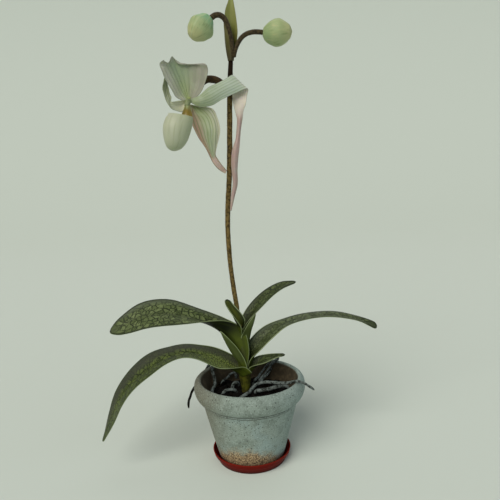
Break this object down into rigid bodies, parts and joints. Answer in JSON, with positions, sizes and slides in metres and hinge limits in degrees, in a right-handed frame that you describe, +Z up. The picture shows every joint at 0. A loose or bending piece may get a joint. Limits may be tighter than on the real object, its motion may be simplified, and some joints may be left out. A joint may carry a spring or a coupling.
{
  "type": "potted slipper orchid",
  "caption": "Slipper orchid in flower with arching mottled leaves, a tall bare stem, an open bloom and buds, in a weathered clay pot on a saucer.",
  "frame": {"origin": "centre of the saucer's flat underside, on the surface that the saucer stands on", "axes": "+Z up along the pot's axis, +X to the right and +Y away when the open bloom is seen on the left of its stem"},
  "size_m": [0.3185, 0.127, 0.5164],
  "materials": {
    "saucer_plastic": "satin",
    "weathered_clay": "matte",
    "bark": "matte",
    "crown_green": "satin",
    "leaf_green": "satin",
    "stem_brown": "satin",
    "bract_green": "satin",
    "bud_green": "satin",
    "sepal_pale": "satin",
    "petal_pale": "satin",
    "pouch_cream": "satin",
    "staminode_olive": "satin",
    "root_grey": "matte"
  },
  "bodies": {
    "root": {"saucer": "saucer_plastic", "pot": "weathered_clay", "potting_mix": "bark", "crown": "crown_green", "root_over_right_rim": "root_grey", "root_right_front": "root_grey", "root_back_right": "root_grey", "root_back_middle": "root_grey", "root_back_outer": "root_grey", "root_over_left_rim": "root_grey", "root_back_left": "root_grey", "root_stub": "root_grey", "root_front_left": "root_grey", "leaf_lower_left": "leaf_green", "leaf_short_right": "leaf_green", "leaf_inner_left": "leaf_green", "leaf_upper_left": "leaf_green", "leaf_long_right": "leaf_green", "leaf_inner_right": "leaf_green", "leaf_young": "leaf_green", "leaf_upper_right": "leaf_green", "flower_stem": "stem_brown", "bud_left_stalk": "stem_brown", "bud_left": "bud_green", "bud_right_stalk": "stem_brown", "bud_right": "bud_green", "bract_left": "bract_green", "bract_tip": "bract_green", "flower_stalk": "stem_brown", "staminode": "staminode_olive", "pouch": "pouch_cream", "petal_right": "petal_pale", "petal_left": "petal_pale", "lower_sepals": "sepal_pale", "dorsal_sepal": "sepal_pale"}
  },
  "joints": []
}
